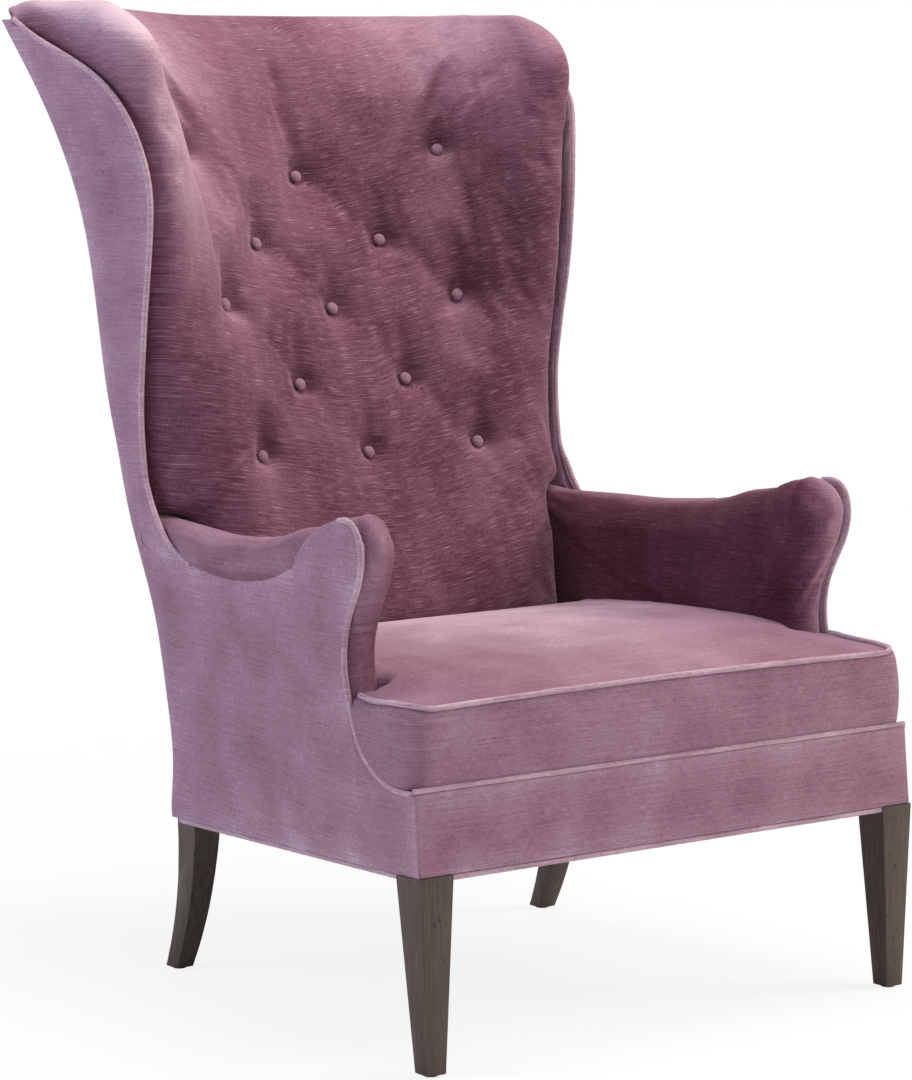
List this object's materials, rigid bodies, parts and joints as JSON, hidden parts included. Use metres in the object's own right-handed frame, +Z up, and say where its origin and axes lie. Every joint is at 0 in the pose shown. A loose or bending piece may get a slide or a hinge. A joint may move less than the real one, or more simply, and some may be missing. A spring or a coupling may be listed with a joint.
{
  "type": "wingback chair",
  "caption": "High-backed upholstered wing chair with flared wings, button-tufted inside back, tight T-shaped seat, rolled scooped arms and tapered wooden legs, for one person to sit in",
  "frame": {"origin": "on the floor, under the middle of the chair's box", "axes": "+X towards the right-hand side as seen from in front of the chair, +Y from the front of the seat towards the back, +Z up; the two halves mirror each other across the YZ plane"},
  "size_m": [0.7406, 0.9065, 1.165],
  "materials": {
    "velvet": "mauve slub velvet, soft pile",
    "welt_velvet": "mauve velvet piping over cord",
    "leg_wood": "dark espresso stain, satin lacquer, small distress marks",
    "frame_wood": "planed hardwood, unfinished",
    "foam": "upholstery foam",
    "spring_steel": "oil-tempered steel",
    "glide_nylon": "moulded black nylon",
    "lining_cloth": "black cambric",
    "webbing": "woven jute"
  },
  "bodies": {
    "root": {"apron_welt": "welt_velvet", "arm_pad_left": "velvet", "arm_pad_right": "velvet", "arm_post_left": "frame_wood", "arm_post_right": "frame_wood", "arm_rail_left": "frame_wood", "arm_rail_right": "frame_wood", "arm_stay_left": "frame_wood", "arm_stay_right": "frame_wood", "back_buttons": "velvet", "back_foam": "foam", "back_post_left": "frame_wood", "back_post_right": "frame_wood", "back_stay_rail": "frame_wood", "back_webbing_cross": "webbing", "back_webbing_upright": "webbing", "base_welt": "welt_velvet", "button_ties": "webbing", "corner_blocks": "frame_wood", "crest_rail": "frame_wood", "dust_cover": "lining_cloth", "foot_glides": "glide_nylon", "front_apron": "velvet", "front_leg_left": "leg_wood", "front_leg_right": "leg_wood", "inside_back": "velvet", "leg_bolts": "spring_steel", "outside_back_panel": "velvet", "outside_panel_left": "velvet", "outside_panel_right": "velvet", "rear_leg_left": "leg_wood", "rear_leg_right": "leg_wood", "seat_cover": "velvet", "seat_deck": "lining_cloth", "seat_foam": "foam", "seat_rail_front": "frame_wood", "seat_rail_left": "frame_wood", "seat_rail_rear": "frame_wood", "seat_rail_right": "frame_wood", "seat_springs": "spring_steel", "spring_clips": "spring_steel", "wing_board_left": "frame_wood", "wing_board_right": "frame_wood"}
  },
  "joints": []
}
